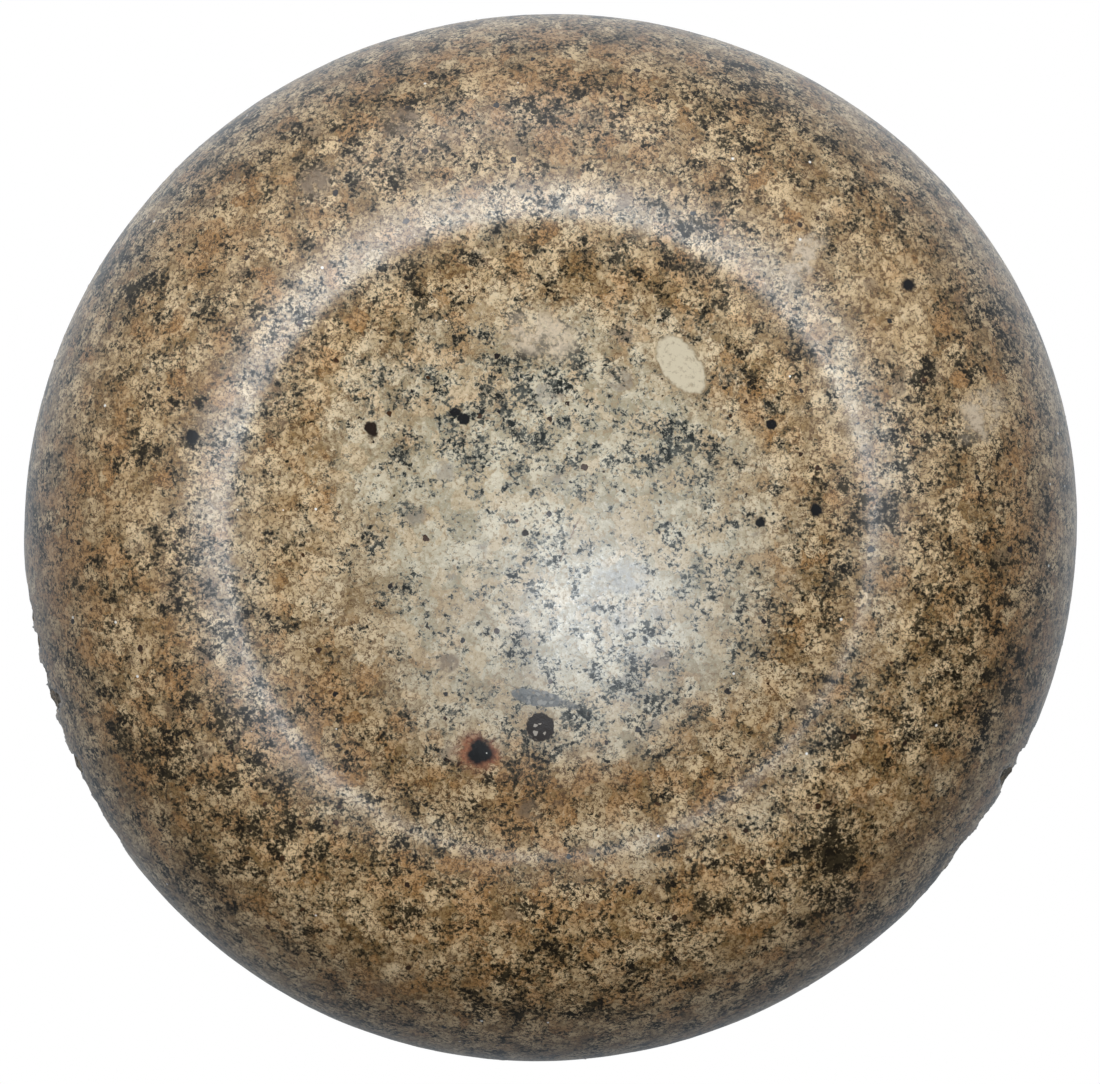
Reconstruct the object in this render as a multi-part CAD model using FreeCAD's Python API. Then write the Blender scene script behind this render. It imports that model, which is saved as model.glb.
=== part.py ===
"""Antique curling stone: a turned granite stone with a screw-on goose-neck handle.

Millimetres, +Z up. The origin is the middle of the running band, the narrow flat ring that
slides on the ice, so z = 0 is the ice. The grip points along +X.

The stone is single-soled: its running face has no bolt hole. An iron stud is cast with lead into
an undercut socket in the top, and the brass handle screws onto that stud over a leather washer.
"""
import FreeCAD, Part
import math
import os

from FreeCAD import Vector

# Stone
STONE_R = 141.5          # greatest radius, at the middle of the striking band (889 mm round)
STONE_H = 114.0          # from the running band to the shoulder of the top
FLANK_R = 52.0           # radius of the polished flank's section, below and above
BAND_HALF = 8.0          # the rough striking band reaches this far below and above the equator
RUN_OUT_R = 89.0         # running band, outer and inner radius
RUN_IN_R = 85.0
CUP_DEPTH = 12.0         # hollow of the running face
CUP_LIP_R = 40.0         # radius of the cup's rounded lip, in section
SEAT_R = 36.0            # flat seat for the handle, in the middle of the top
SEAT_DEPTH = 6.0         # how far the seat lies below the shoulder
TOP_LIP_R = 60.0         # radius of the top's rounded shoulder, in section

# Socket in the top, wider at its bottom so that the lead can't pull out
SOCKET_MOUTH_R = 14.0
SOCKET_FLOOR_R = 18.0
SOCKET_DEPTH = 50.0
LEAD_BELOW_SEAT = 0.4    # the lead stands a little below the seat, so the washer bears on stone

# Iron stud, half-inch Whitworth
THREAD_R = 6.35
THREAD_PITCH = 25.4 / 12
THREAD_DEPTH = 1.35
THREAD_HALF_DEG = 27.5   # slope of the thread's flanks
THREAD_CREST = 0.25      # width of the flat on the crest
THREAD_SUNK = 0.15       # the ridge's foot reaches this far into the core, to join it
STUD_ABOVE_SEAT = 17.0
SHANK_R = 7.6            # plain shank between the thread and the foot
STUD_CHAMFER = 1.0
ANCHOR_TOP = 12.0        # square foot of the stud, its width at the top and at the bottom
ANCHOR_FOOT = 21.0
ANCHOR_LENGTH = 32.0
ANCHOR_FLOOR_GAP = 5.0
THREAD_PLAY = 0.1        # gap all round between the stud's thread and the handle's

# Leather washer and brass flange
WASHER_T = 2.0
WASHER_R = 29.5
WASHER_HOLE_R = 6.7
FLANGE_R = 29.0
FLANGE_T = 3.2           # thickness at the flange's rim
FLANGE_ROUND = 1.2       # round on the rim's upper edge
FLANGE_STEP = 4.0        # flat margin inside the rim
FLANGE_FILLET_IN = 0.8   # steep fillet inside that margin, how far in and how high
FLANGE_FILLET_UP = 1.4
FLANGE_RISE = 2.6        # height of the dished part above the rim
FLANGE_COVE = 6.0        # radius of the cove up to the boss
FLANGE_QUIRK = 0.7       # small step between the cove and the boss
BORE_DEPTH = 17.5        # threaded bore in the handle's boss

# Goose neck, a chain of straights and bends in the XZ plane
BOSS_R = 12.5
NECK_R = 7.6
NECK_END_R = 9.4
NECK_WAIST_AT = 0.62     # share of the neck's length where it is slimmest
NECK_RISE = 18.0         # straight part above the flange's underside
LEAN_BEND_R = 24.0       # first bend, away from the grip
LEAN_DEG = 32.0
CROOK_BEND_R = 20.0      # second bend, over towards the grip
GRIP_TILT_DEG = 4.0      # the grip rises this much towards its end
NECK_STRAIGHT = 9.0      # straight end of the neck
TANG_IN_NECK = 12.0
COLLAR_L = 2.4           # raised collar on the neck's end, against the front ferrule
COLLAR_PROUD = 1.1
COLLAR_SLOPE = 0.8       # length of its sloping back
COLLAR_BREAK = 0.6       # length of its broken front edge
COLLAR_FACE_PROUD = 0.4  # how far its front face stands proud of the neck

# Grip, ferrules, tang and cap nut, all turned about the grip's axis
TANG_R = 4.0
TANG_PLAY = 0.15         # gap between the tang and the pieces threaded over it
FERRULE_L = 9.0
FERRULE_R = 11.6
FERRULE_WALL = 4.6       # solid web of the ferrule, before its socket for the wood
# Turned outside of the ferrule: how far inside FERRULE_R, and how far from the web's outer face
FERRULE_OUTSIDE = ((2.2, 0.0), (0.4, 1.2), (0.4, 2.4), (1.4, 3.4), (1.0, 7.2), (0.0, 8.0),
                   (0.0, FERRULE_L))
SPIGOT_R = 9.6           # turned-down end of the wood, inside the ferrule
GRIP_L = 86.0            # length of the wood between the ferrules
GRIP_END_R = 11.2
GRIP_BELLY_R = 14.2
GRIP_BELLY_AT = 0.56     # share of the grip's length where it is thickest
GRIP_FULL_FRONT = 0.5    # how much fuller than halfway the grip is between an end and the belly
GRIP_FULL_REAR = 0.4
GRIP_FULL_SHIFT = 2.0    # the rear one lies this much nearer the end than halfway
CAP_R = 8.6
CAP_L = 8.5
CAP_RIM = 3.0            # straight part of the cap nut, before its dome
CAP_BORE = 5.0
CAP_DOME_R = 6.88        # radius of the dome half way up, and how far it bulges above that
CAP_DOME_BULGE = 0.8
BUTTON_R = 3.2           # small turned button on the end of the cap nut
BUTTON_H = 2.6

OVERLAP = 1.0            # how far a cutter or a joined piece reaches past the surface it meets

EQUATOR_Z = STONE_H / 2
SEAT_Z = STONE_H - SEAT_DEPTH
SOCKET_FLOOR_Z = SEAT_Z - SOCKET_DEPTH
LEAD_TOP_Z = SEAT_Z - LEAD_BELOW_SEAT
FLANGE_Z = SEAT_Z + WASHER_T
STUD_TOP_Z = SEAT_Z + STUD_ABOVE_SEAT
UP = Vector(0, 0, 1)


def at(r, z):
    """Point of a turned section: r out from the axis, z along it."""
    return Vector(r, 0, z)


def line(a, b):
    return Part.LineSegment(a, b).toShape()


def lines(points):
    """Straight edges through the points, in order."""
    return [line(a, b) for a, b in zip(points, points[1:])]


def arc(centre, radius, start_deg, end_deg):
    """Circular edge in the XZ plane, from one angle to the other about its centre."""
    angles = [math.radians(start_deg + (end_deg - start_deg) * share) for share in (0, 0.5, 1)]
    ends = [centre + Vector(math.cos(a), 0, math.sin(a)) * radius for a in angles]
    return Part.Arc(*ends).toShape()


def ogee(start, end, end_radius):
    """Two tangent arcs from start to end, level at both, the second with end_radius."""
    across, up = end.x - start.x, end.z - start.z
    swing = 2 * math.atan2(abs(up), across)
    start_radius = across / math.sin(swing) - end_radius
    side = 1 if up > 0 else -1
    middle = start + Vector(math.sin(swing), 0, side * (1 - math.cos(swing))) * start_radius
    half = swing / 2
    first = start + Vector(math.sin(half), 0, side * (1 - math.cos(half))) * start_radius
    second = end - Vector(math.sin(half), 0, side * (1 - math.cos(half))) * end_radius
    return [Part.Arc(start, first, middle).toShape(), Part.Arc(middle, second, end).toShape()]


def turned(edges):
    """Solid turned about Z from the closed section that the edges make."""
    section = Part.Face(Part.Wire(edges))
    return section.revolve(Vector(0, 0, 0), UP, 360)


def granite_body():
    """The stone: cupped running face, polished flanks, striking band, dished top and socket."""
    flank_low = at(RUN_OUT_R, FLANK_R)
    flank_high = at(RUN_OUT_R, STONE_H - FLANK_R)
    rise = EQUATOR_Z - BAND_HALF
    edge_deg = math.degrees(math.acos(1 - rise / FLANK_R))
    edge_r = RUN_OUT_R + FLANK_R * math.sin(math.radians(edge_deg))
    band = Part.Arc(at(edge_r, EQUATOR_Z - BAND_HALF), at(STONE_R, EQUATOR_Z),
                    at(edge_r, EQUATOR_Z + BAND_HALF)).toShape()
    cup = ogee(at(0, CUP_DEPTH), at(RUN_IN_R, 0), CUP_LIP_R)
    dish = ogee(at(SEAT_R, SEAT_Z), at(RUN_OUT_R, STONE_H), TOP_LIP_R)
    socket = lines([at(SEAT_R, SEAT_Z), at(SOCKET_MOUTH_R, SEAT_Z),
                    at(SOCKET_FLOOR_R, SOCKET_FLOOR_Z), at(0, SOCKET_FLOOR_Z), at(0, CUP_DEPTH)])
    outline = cup
    outline += [line(at(RUN_IN_R, 0), at(RUN_OUT_R, 0))]
    outline += [arc(flank_low, FLANK_R, -90, edge_deg - 90), band]
    outline += [arc(flank_high, FLANK_R, 90 - edge_deg, 90)]
    outline += dish[::-1] + socket
    return turned(outline)


def thread(grow, z_low, z_high):
    """Rod with a right-hand thread between two heights, grown by a gap to cut a matching bore."""
    outer_r = THREAD_R + grow
    root_r = outer_r - THREAD_DEPTH
    inner_r = root_r - THREAD_SUNK
    crest = THREAD_CREST / 2 + grow
    foot = crest + (outer_r - inner_r) * math.tan(math.radians(THREAD_HALF_DEG))
    start_z = LEAD_TOP_Z - THREAD_PITCH
    helix = Part.makeHelix(THREAD_PITCH, z_high + THREAD_PITCH - start_z, inner_r)
    section = Part.makePolygon([at(inner_r, -foot), at(outer_r, -crest), at(outer_r, crest),
                                at(inner_r, foot), at(inner_r, -foot)])
    ridge = Part.Wire(helix).makePipeShell([section], True, True)
    ridge.translate(at(0, start_z))
    keep = Part.makeCylinder(outer_r + OVERLAP, z_high - z_low, at(0, z_low))
    core = Part.makeCylinder(root_r, z_high - z_low, at(0, z_low))
    return core.fuse(ridge.common(keep))


def anchor():
    """Square foot of the stud, flared downwards so that the lead grips it."""
    top_z = SOCKET_FLOOR_Z + ANCHOR_FLOOR_GAP + ANCHOR_LENGTH
    squares = []
    for width, z in ((ANCHOR_FOOT, top_z - ANCHOR_LENGTH), (ANCHOR_TOP, top_z)):
        half = width / 2
        corners = [Vector(-half, -half, z), Vector(half, -half, z),
                   Vector(half, half, z), Vector(-half, half, z)]
        squares.append(Part.makePolygon(corners + corners[:1]))
    foot = Part.makeLoft(squares, True, True)
    shank = Part.makeCylinder(SHANK_R, LEAD_TOP_Z - top_z + OVERLAP, at(0, top_z - OVERLAP))
    return foot.fuse(shank)


def handle_stud():
    """Iron stud: flared square foot in the lead, thread above it, chamfered at its tip."""
    rod = thread(0, LEAD_TOP_Z, STUD_TOP_Z).removeSplitter()
    corner = at(THREAD_R + OVERLAP, STUD_TOP_Z - STUD_CHAMFER - OVERLAP)
    waste = turned(lines([corner, at(THREAD_R + OVERLAP, STUD_TOP_Z + OVERLAP),
                          at(THREAD_R - STUD_CHAMFER - OVERLAP, STUD_TOP_Z + OVERLAP), corner]))
    return anchor().fuse(rod.cut(waste)).removeSplitter()


def lead_plug():
    """Lead poured round the foot of the stud."""
    drop = LEAD_BELOW_SEAT / SOCKET_DEPTH * (SOCKET_FLOOR_R - SOCKET_MOUTH_R)
    cast = turned(lines([at(0, SOCKET_FLOOR_Z), at(SOCKET_FLOOR_R, SOCKET_FLOOR_Z),
                         at(SOCKET_MOUTH_R + drop, LEAD_TOP_Z), at(0, LEAD_TOP_Z),
                         at(0, SOCKET_FLOOR_Z)]))
    return cast.cut(anchor())


def seat_washer():
    """Leather washer between the flange and the stone."""
    disc = Part.makeCylinder(WASHER_R, WASHER_T, at(0, SEAT_Z))
    return disc.cut(Part.makeCylinder(WASHER_HOLE_R, WASHER_T, at(0, SEAT_Z)))


def neck_path():
    """Stations along the neck: (point, heading in degrees from +X, distance travelled)."""
    point, heading, run = at(0, FLANGE_Z), 90.0, 0.0
    stations = [(point, heading, run)]
    bends = ((LEAN_BEND_R, LEAN_DEG, 3), (CROOK_BEND_R, GRIP_TILT_DEG - 90 - LEAN_DEG, 7))

    def straight(length, steps):
        nonlocal point, run
        for _ in range(steps):
            way = math.radians(heading)
            point = point + Vector(math.cos(way), 0, math.sin(way)) * (length / steps)
            run += length / steps
            stations.append((point, heading, run))

    straight(NECK_RISE, 3)
    for radius, turn, steps in bends:
        step = math.radians(turn) / steps
        for _ in range(steps):
            way = math.radians(heading) + step / 2
            chord = 2 * radius * math.sin(abs(step) / 2)
            point = point + Vector(math.cos(way), 0, math.sin(way)) * chord
            heading += math.degrees(step)
            run += radius * abs(step)
            stations.append((point, heading, run))
    straight(NECK_STRAIGHT, 2)
    return stations


NECK_STATIONS = neck_path()
GRIP_START, GRIP_HEADING, NECK_LENGTH = NECK_STATIONS[-1]


def neck_radius(run):
    """Neck's radius at a distance along it: thick boss, slim crook, swelling to the ferrule."""
    waist = NECK_WAIST_AT * NECK_LENGTH
    if run < NECK_RISE:
        return BOSS_R
    if run < waist:
        share = (run - NECK_RISE) / (waist - NECK_RISE)
        return BOSS_R + (NECK_R - BOSS_R) * (1 - math.cos(math.pi * share)) / 2
    share = (run - waist) / (NECK_LENGTH - waist)
    return NECK_R + (NECK_END_R - NECK_R) * share ** 2


def along_grip(shape):
    """Carries a piece turned about Z at the origin onto the grip's axis."""
    shape.rotate(Vector(0, 0, 0), Vector(0, 1, 0), 90 - GRIP_HEADING)
    shape.translate(GRIP_START)
    return shape


def flange():
    """Moulded round foot of the handle, turned about Z: rounded rim, fillet, dish and cove."""
    rim_z = FLANGE_Z + FLANGE_T
    step_r = FLANGE_R - FLANGE_STEP
    cove_r = BOSS_R + FLANGE_QUIRK + FLANGE_COVE
    cove_z = rim_z + FLANGE_RISE
    outline = lines([at(0, FLANGE_Z), at(FLANGE_R, FLANGE_Z), at(FLANGE_R, rim_z - FLANGE_ROUND)])
    outline += [arc(at(FLANGE_R - FLANGE_ROUND, rim_z - FLANGE_ROUND), FLANGE_ROUND, 0, 90)]
    outline += lines([at(FLANGE_R - FLANGE_ROUND, rim_z), at(step_r, rim_z),
                      at(step_r - FLANGE_FILLET_IN, rim_z + FLANGE_FILLET_UP),
                      at(cove_r, cove_z)])
    outline += [arc(at(cove_r, cove_z + FLANGE_COVE), FLANGE_COVE, 270, 180)]
    outline += lines([at(cove_r - FLANGE_COVE, cove_z + FLANGE_COVE),
                      at(0, cove_z + FLANGE_COVE), at(0, FLANGE_Z)])
    return turned(outline)


def neck_collar():
    """Raised collar on the neck's end, in front of which the ferrule sits."""
    proud_r = NECK_END_R + COLLAR_PROUD
    corner = at(0, -COLLAR_L)
    return along_grip(turned(lines([corner, at(NECK_END_R, -COLLAR_L),
                                    at(proud_r, COLLAR_SLOPE - COLLAR_L),
                                    at(proud_r, -COLLAR_BREAK),
                                    at(NECK_END_R + COLLAR_FACE_PROUD, 0), at(0, 0), corner])))


def handle_neck():
    """Brass casting: flange, boss with its threaded bore, and goose neck."""
    rings = []
    for point, heading, run in NECK_STATIONS:
        way = math.radians(heading)
        circle = Part.Circle(point, Vector(math.cos(way), 0, math.sin(way)), neck_radius(run))
        rings.append(Part.Wire(circle.toShape()))
    neck = Part.makeLoft(rings[1:], True, False)
    body = flange().fuse(neck).fuse(neck_collar())
    bore_top = FLANGE_Z + BORE_DEPTH
    body = body.cut(thread(THREAD_PLAY, FLANGE_Z, bore_top))
    tang_hole = along_grip(Part.makeCylinder(TANG_R, TANG_IN_NECK + OVERLAP,
                                             at(0, -TANG_IN_NECK)))
    return body.cut(tang_hole).removeSplitter()


def ferrule(sign, z_web):
    """Brass ferrule: a web at z_web and, on the wood's side, a socket for its spigot."""
    hole = TANG_R + TANG_PLAY
    profile = [at(hole, 0)]
    profile += [at(FERRULE_R - inside, sign * z) for inside, z in FERRULE_OUTSIDE]
    profile += [at(SPIGOT_R, sign * FERRULE_L), at(SPIGOT_R, sign * FERRULE_WALL)]
    profile += [at(hole, sign * FERRULE_WALL), at(hole, 0)]
    ring = turned(lines(profile))
    ring.translate(at(0, z_web))
    return along_grip(ring)


WOOD_START = FERRULE_L
WOOD_END = FERRULE_L + GRIP_L
CAP_START = WOOD_END + FERRULE_L


def wooden_grip():
    """Turned wooden grip, bored for the tang, with a spigot in each ferrule."""
    hole = TANG_R + TANG_PLAY
    spigot = FERRULE_L - FERRULE_WALL
    belly = WOOD_START + GRIP_BELLY_AT * GRIP_L
    halfway_r = (GRIP_END_R + GRIP_BELLY_R) / 2
    swell = Part.BSplineCurve()
    swell.interpolate([at(GRIP_END_R, WOOD_START),
                       at(halfway_r + GRIP_FULL_FRONT, (WOOD_START + belly) / 2),
                       at(GRIP_BELLY_R, belly),
                       at(halfway_r + GRIP_FULL_REAR, (WOOD_END + belly) / 2 + GRIP_FULL_SHIFT),
                       at(GRIP_END_R, WOOD_END)])
    outline = lines([at(hole, WOOD_START - spigot), at(SPIGOT_R, WOOD_START - spigot),
                     at(SPIGOT_R, WOOD_START), at(GRIP_END_R, WOOD_START)])
    outline += [swell.toShape()]
    outline += lines([at(GRIP_END_R, WOOD_END), at(SPIGOT_R, WOOD_END),
                      at(SPIGOT_R, WOOD_END + spigot), at(hole, WOOD_END + spigot),
                      at(hole, WOOD_START - spigot)])
    return along_grip(turned(outline))


def grip_tang():
    """Steel rod through the grip, fixed in the neck at one end and the cap nut at the other."""
    return along_grip(Part.makeCylinder(TANG_R, TANG_IN_NECK + CAP_START + CAP_BORE,
                                        at(0, -TANG_IN_NECK)))


def crown(radius, z, height):
    """Arc from radius at z up to the axis, level where it meets it."""
    drop = (radius ** 2 - height ** 2) / (2 * height)
    return arc(at(0, z - drop), height + drop, math.degrees(math.atan2(drop, radius)), 90)


def cap_nut():
    """Domed brass nut that holds the grip on the tang."""
    dome_z = CAP_START + CAP_RIM
    top_z = CAP_START + CAP_L
    outline = lines([at(TANG_R, CAP_START), at(CAP_R, CAP_START), at(CAP_R, dome_z)])
    outline += [Part.Arc(at(CAP_R, dome_z),
                         at(CAP_DOME_R, (dome_z + top_z) / 2 + CAP_DOME_BULGE),
                         at(BUTTON_R, top_z)).toShape()]
    outline += [crown(BUTTON_R, top_z, BUTTON_H)]
    outline += lines([at(0, top_z + BUTTON_H), at(0, CAP_START + CAP_BORE),
                      at(TANG_R, CAP_START + CAP_BORE), at(TANG_R, CAP_START)])
    return along_grip(turned(outline))


PIECES = {
    "granite_body": granite_body,
    "lead_plug": lead_plug,
    "handle_stud": handle_stud,
    "seat_washer": seat_washer,
    "handle_neck": handle_neck,
    "front_ferrule": lambda: ferrule(1, 0),
    "wooden_grip": wooden_grip,
    "rear_ferrule": lambda: ferrule(-1, CAP_START),
    "grip_tang": grip_tang,
    "cap_nut": cap_nut,
}

os.makedirs("parts", exist_ok=True)
for node, make in PIECES.items():
    solid, = make().Solids
    solid.exportStep(f"parts/{node}.step")
    box = solid.BoundBox
    print(f"{node}: valid {solid.isValid()}, {solid.Volume / 1000:.1f} cm3, "
          f"x {box.XMin:.1f}..{box.XMax:.1f}, z {box.ZMin:.1f}..{box.ZMax:.1f}")
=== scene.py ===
"""Antique curling stone, seen square on to its cupped running face.

The stone is rebuilt as a fine lathe mesh with a pecked, chipped striking band. The handle's CAD
pieces stay and get finished materials. Metres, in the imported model's frame: +Z up, z = 0 the ice.
"""
import math

import bpy
from mathutils import Euler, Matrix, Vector, noise


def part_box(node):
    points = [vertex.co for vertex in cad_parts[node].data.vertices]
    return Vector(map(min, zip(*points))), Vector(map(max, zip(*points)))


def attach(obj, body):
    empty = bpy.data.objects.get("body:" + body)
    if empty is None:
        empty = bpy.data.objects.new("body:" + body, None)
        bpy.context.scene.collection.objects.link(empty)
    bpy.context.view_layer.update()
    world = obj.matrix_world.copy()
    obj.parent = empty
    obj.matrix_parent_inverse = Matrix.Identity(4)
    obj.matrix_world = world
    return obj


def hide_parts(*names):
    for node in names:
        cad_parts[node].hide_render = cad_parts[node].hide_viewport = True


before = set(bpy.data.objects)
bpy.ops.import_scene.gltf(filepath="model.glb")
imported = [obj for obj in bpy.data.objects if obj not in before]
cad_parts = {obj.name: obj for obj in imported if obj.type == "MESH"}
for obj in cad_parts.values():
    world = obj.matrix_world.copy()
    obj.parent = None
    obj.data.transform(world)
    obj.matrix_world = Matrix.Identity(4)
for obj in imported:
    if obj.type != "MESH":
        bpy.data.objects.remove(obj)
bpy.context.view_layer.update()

MM = 0.001

# ---------------------------------------------------------------- the stone's shape, millimetres
stone_low, stone_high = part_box("granite_body")
HEIGHT = (stone_high.z - stone_low.z) / MM
RADIUS = (stone_high.x - stone_low.x) / 2 / MM
MEAN_R = RADIUS - 0.9        # leaves room for the oval and the lobes inside the CAD box
OUT_OF_ROUND = 0.0079        # the hand-dressed stone is this much longer one way than the other
OVAL_AT = math.radians(145.6)
LOBES = 0.6                  # and has three very slight lobes
LOBES_AT = math.radians(161.8)
FLANK_R = 52.0               # radius of the flank's section, below and above
RUN_OUT = 89.0               # the flat running band, and the shoulder of the top
RUN_IN = 85.0
CUP_DEPTH = 12.0
CUP_LIP = 20.0               # the rim of the cup is worn tighter than the CAD's
SEAT_R = 36.0                # the handle's seat
SEAT_MIDDLE = 24.0
SEAT_DEPTH = 6.0
TOP_LIP = 60.0
SOCKET_MOUTH = 14.0          # the undercut socket that holds the lead
SOCKET_FLOOR = 18.0
SOCKET_DEPTH = 50.0
SOCKET_BREAK = 0.6           # the broken edge of its mouth
WALL_LOW = 48.5              # the straight belt between the two halves of the flank
WALL_HIGH = 67.5
FINE_LOW = 30.0              # the lathe's rows lie closer together from here up to the belt
FINE_HIGH = 84.0             # and from the belt up to here
BAND_LOW = 45.0              # edges of the pecked striking band
BAND_HIGH = 69.0
BAND_REACH = 14.0            # nothing further in than this is struck
BAND_SUNK = 0.35
BAND_WAVES = ((17.0, 1.6), (4.5, 1.0))      # its wavy edges: wavelength and height
BITE_LEAST = 3.0             # how far the chips bite below the band, and how long the bites are
BITE_MORE = 22.0
BITE_LENGTH = 8.0
PECK_SIZE = 3.1              # punch marks, coarse flakes and grit: size and depth
PECK_DEPTH = 0.55
FLAKE_SIZE = 8.0
FLAKE_DEPTH = 2.0
GRIT_SIZE = 2.2
GRIT_DEPTH = 0.5
CHIPPED_SUNK = 0.30          # the chipped arcs lie this much deeper all over
POLISH_WAVES = ((21.0, 0.10), (7.0, 0.035))   # waviness that hand polishing leaves
CHIPPED = ((-20.0, 19.0), (-147.0, 13.5))   # azimuth and half width, degrees, of the chipped arcs
SEGMENTS = 720
EIGHTH_R = 12.0              # an eighth of the segments inside this radius
QUARTER_R = 66.0             # and a quarter inside this one


def smooth(low, high, value):
    """0 below low, 1 above high, and an S-curve between."""
    share = min(max((value - low) / (high - low), 0.0), 1.0)
    return share * share * (3 - 2 * share)


def ogee(start, end, end_radius, steps):
    """Points of two tangent arcs from start to end, level at both ends, end left out."""
    across, up = end[0] - start[0], end[1] - start[1]
    swing = 2 * math.atan2(abs(up), across)
    start_radius = across / math.sin(swing) - end_radius
    side = 1 if up > 0 else -1
    points = []
    for i in range(steps):
        r = start[0] + across * i / steps
        if r - start[0] < start_radius * math.sin(swing):
            lift = start_radius - math.sqrt(start_radius ** 2 - (r - start[0]) ** 2)
            points.append((r, start[1] + side * lift))
        else:
            lift = end_radius - math.sqrt(end_radius ** 2 - (end[0] - r) ** 2)
            points.append((r, end[1] - side * lift))
    return points


def flank(z_first, z_last, steps):
    """Points up the lower or the upper half of the rounded side, evenly spaced along it."""
    side = 1 if z_first > HEIGHT / 2 else -1
    centre_r = MEAN_R - FLANK_R
    centre_z = HEIGHT - FLANK_R if side > 0 else FLANK_R

    def swing(z):
        return math.acos(min(max(side * (z - centre_z) / FLANK_R, 0.0), 1.0))

    first, last = swing(z_first), swing(z_last)
    angles = [first + (last - first) * i / steps for i in range(steps)]
    return [(centre_r + FLANK_R * math.sin(a), centre_z + side * FLANK_R * math.cos(a))
            for a in angles]


def stone_profile():
    """Rows of the lathe from the middle of the cup round to the bottom of the socket."""
    seat_z = HEIGHT - SEAT_DEPTH
    undercut = (SOCKET_FLOOR - SOCKET_MOUTH) / 4
    rows = ogee((0.0, CUP_DEPTH), (RUN_IN, 0.0), CUP_LIP, 44)[1:]
    rows += [(RUN_IN + i, 0.0) for i in range(int(RUN_OUT - RUN_IN))]
    rows += flank(0.0, FINE_LOW, 22)
    rows += flank(FINE_LOW, WALL_LOW, 24)
    rows += [(MEAN_R, WALL_LOW + i) for i in range(int(WALL_HIGH - WALL_LOW))]
    rows += flank(WALL_HIGH, FINE_HIGH, 18)
    rows += flank(FINE_HIGH, HEIGHT, 20)
    rows += [(RUN_OUT, HEIGHT)]
    rows += ogee((SEAT_R, seat_z), (RUN_OUT, HEIGHT), TOP_LIP, 22)[::-1]
    rows += [(SEAT_MIDDLE, seat_z), (SOCKET_MOUTH + SOCKET_BREAK, seat_z)]
    rows += [(SOCKET_MOUTH, seat_z - SOCKET_BREAK)]
    rows += [(SOCKET_MOUTH + undercut, seat_z - SOCKET_DEPTH / 4)]
    rows += [(SOCKET_FLOOR, seat_z - SOCKET_DEPTH)]
    return rows


def row_segments(r, z):
    """Fewer segments where the stone is narrow."""
    if r < EIGHTH_R or (r < SEAT_R + 1 and z > HEIGHT / 2):
        return SEGMENTS // 8
    if r < QUARTER_R:
        return SEGMENTS // 4
    return SEGMENTS


def oval(r, azimuth):
    """Radius after the stone's slight ovalness, which the socket and seat don't share."""
    share = smooth(SEAT_R, RUN_IN, r)
    lobes = LOBES * (r / MEAN_R) * math.cos(3 * (azimuth - LOBES_AT))
    return r * (1 + OUT_OF_ROUND * share * math.cos(2 * (azimuth - OVAL_AT))) + share * lobes


def chipped(azimuth):
    """1 in the middle of the two arcs where the band is chipped, 0 away from them."""
    most = 0.0
    for centre, half in CHIPPED:
        off = abs((math.degrees(azimuth) - centre + 180) % 360 - 180)
        most = max(most, 1 - smooth(0.6 * half, half, off))
    return most


def waves(point, table):
    """Sum of smooth noises, each of a wavelength and a height."""
    return sum(noise.noise(point / length) * height for length, height in table)


def band_share(r, z, azimuth):
    """How far a point lies in the striking band: 1 inside it, 0 on the polished flank."""
    if r < MEAN_R - BAND_REACH:
        return 0.0
    around = Vector((math.cos(azimuth), math.sin(azimuth), 0)) * MEAN_R
    wave = waves(around, BAND_WAVES)
    chips = chipped(azimuth)
    tear = abs(noise.noise(around / BITE_LENGTH + Vector((0, 0, 5))))
    bite = chips * (BITE_LEAST + BITE_MORE * tear)
    low = BAND_LOW + wave - bite
    high = BAND_HIGH + wave * 0.8 + chips * 2
    return smooth(low - 0.5, low + 0.7, z) * (1 - smooth(high - 0.7, high + 0.5, z))


def pecking(point, share, chips):
    """How deep the punch marks and flakes are cut, millimetres."""
    mark = noise.voronoi(point / PECK_SIZE)[0][0]
    flake = noise.voronoi(point / FLAKE_SIZE + Vector((3, 1, 7)))[0][0]
    grit = noise.turbulence(point / GRIT_SIZE, 3, False)
    deep = BAND_SUNK + PECK_DEPTH * max(0.0, 1 - mark * 1.7) + GRIT_DEPTH * grit
    deep += chips * (FLAKE_DEPTH * max(0.0, 1 - flake * 1.35) + CHIPPED_SUNK)
    return share * deep


def outward(rows, index):
    """The section's outward direction at a row."""
    before = rows[max(index - 1, 0)]
    after = rows[min(index + 1, len(rows) - 1)]
    run = Vector((after[0] - before[0], after[1] - before[1])).normalized()
    return Vector((run.y, -run.x))


def surface_point(r, z, azimuth, out):
    """A point of the stone's surface, and how far it lies in the striking band."""
    way = Vector((math.cos(azimuth), math.sin(azimuth), 0))
    point = way * oval(r, azimuth) + Vector((0, 0, z))
    in_seat = z > HEIGHT / 2 and r < SEAT_R
    on_ice = z == 0.0 and r > RUN_IN - 1
    shift = 0.0 if in_seat or on_ice else waves(point, POLISH_WAVES)
    share = band_share(r, z, azimuth)
    if share > 0:
        shift -= pecking(point, share, chipped(azimuth))
    return point + way * (out.x * shift) + Vector((0, 0, out.y * shift)), share


def ring(first, count):
    """Pairs of neighbours round a ring of vertices."""
    return [(first + i, first + (i + 1) % count) for i in range(count)]


def bridge(first_a, count_a, first_b, count_b):
    """Faces between two rings, whose counts are equal or whole multiples of each other."""
    if count_a <= count_b:
        times = count_b // count_a
        return [(a, b, *(first_b + (i * times + k) % count_b for k in range(times, -1, -1)))
                for i, (a, b) in enumerate(ring(first_a, count_a))]
    times = count_a // count_b
    return [(*(first_a + (i * times + k) % count_a for k in range(times + 1)), b, a)
            for i, (a, b) in enumerate(ring(first_b, count_b))]


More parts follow.
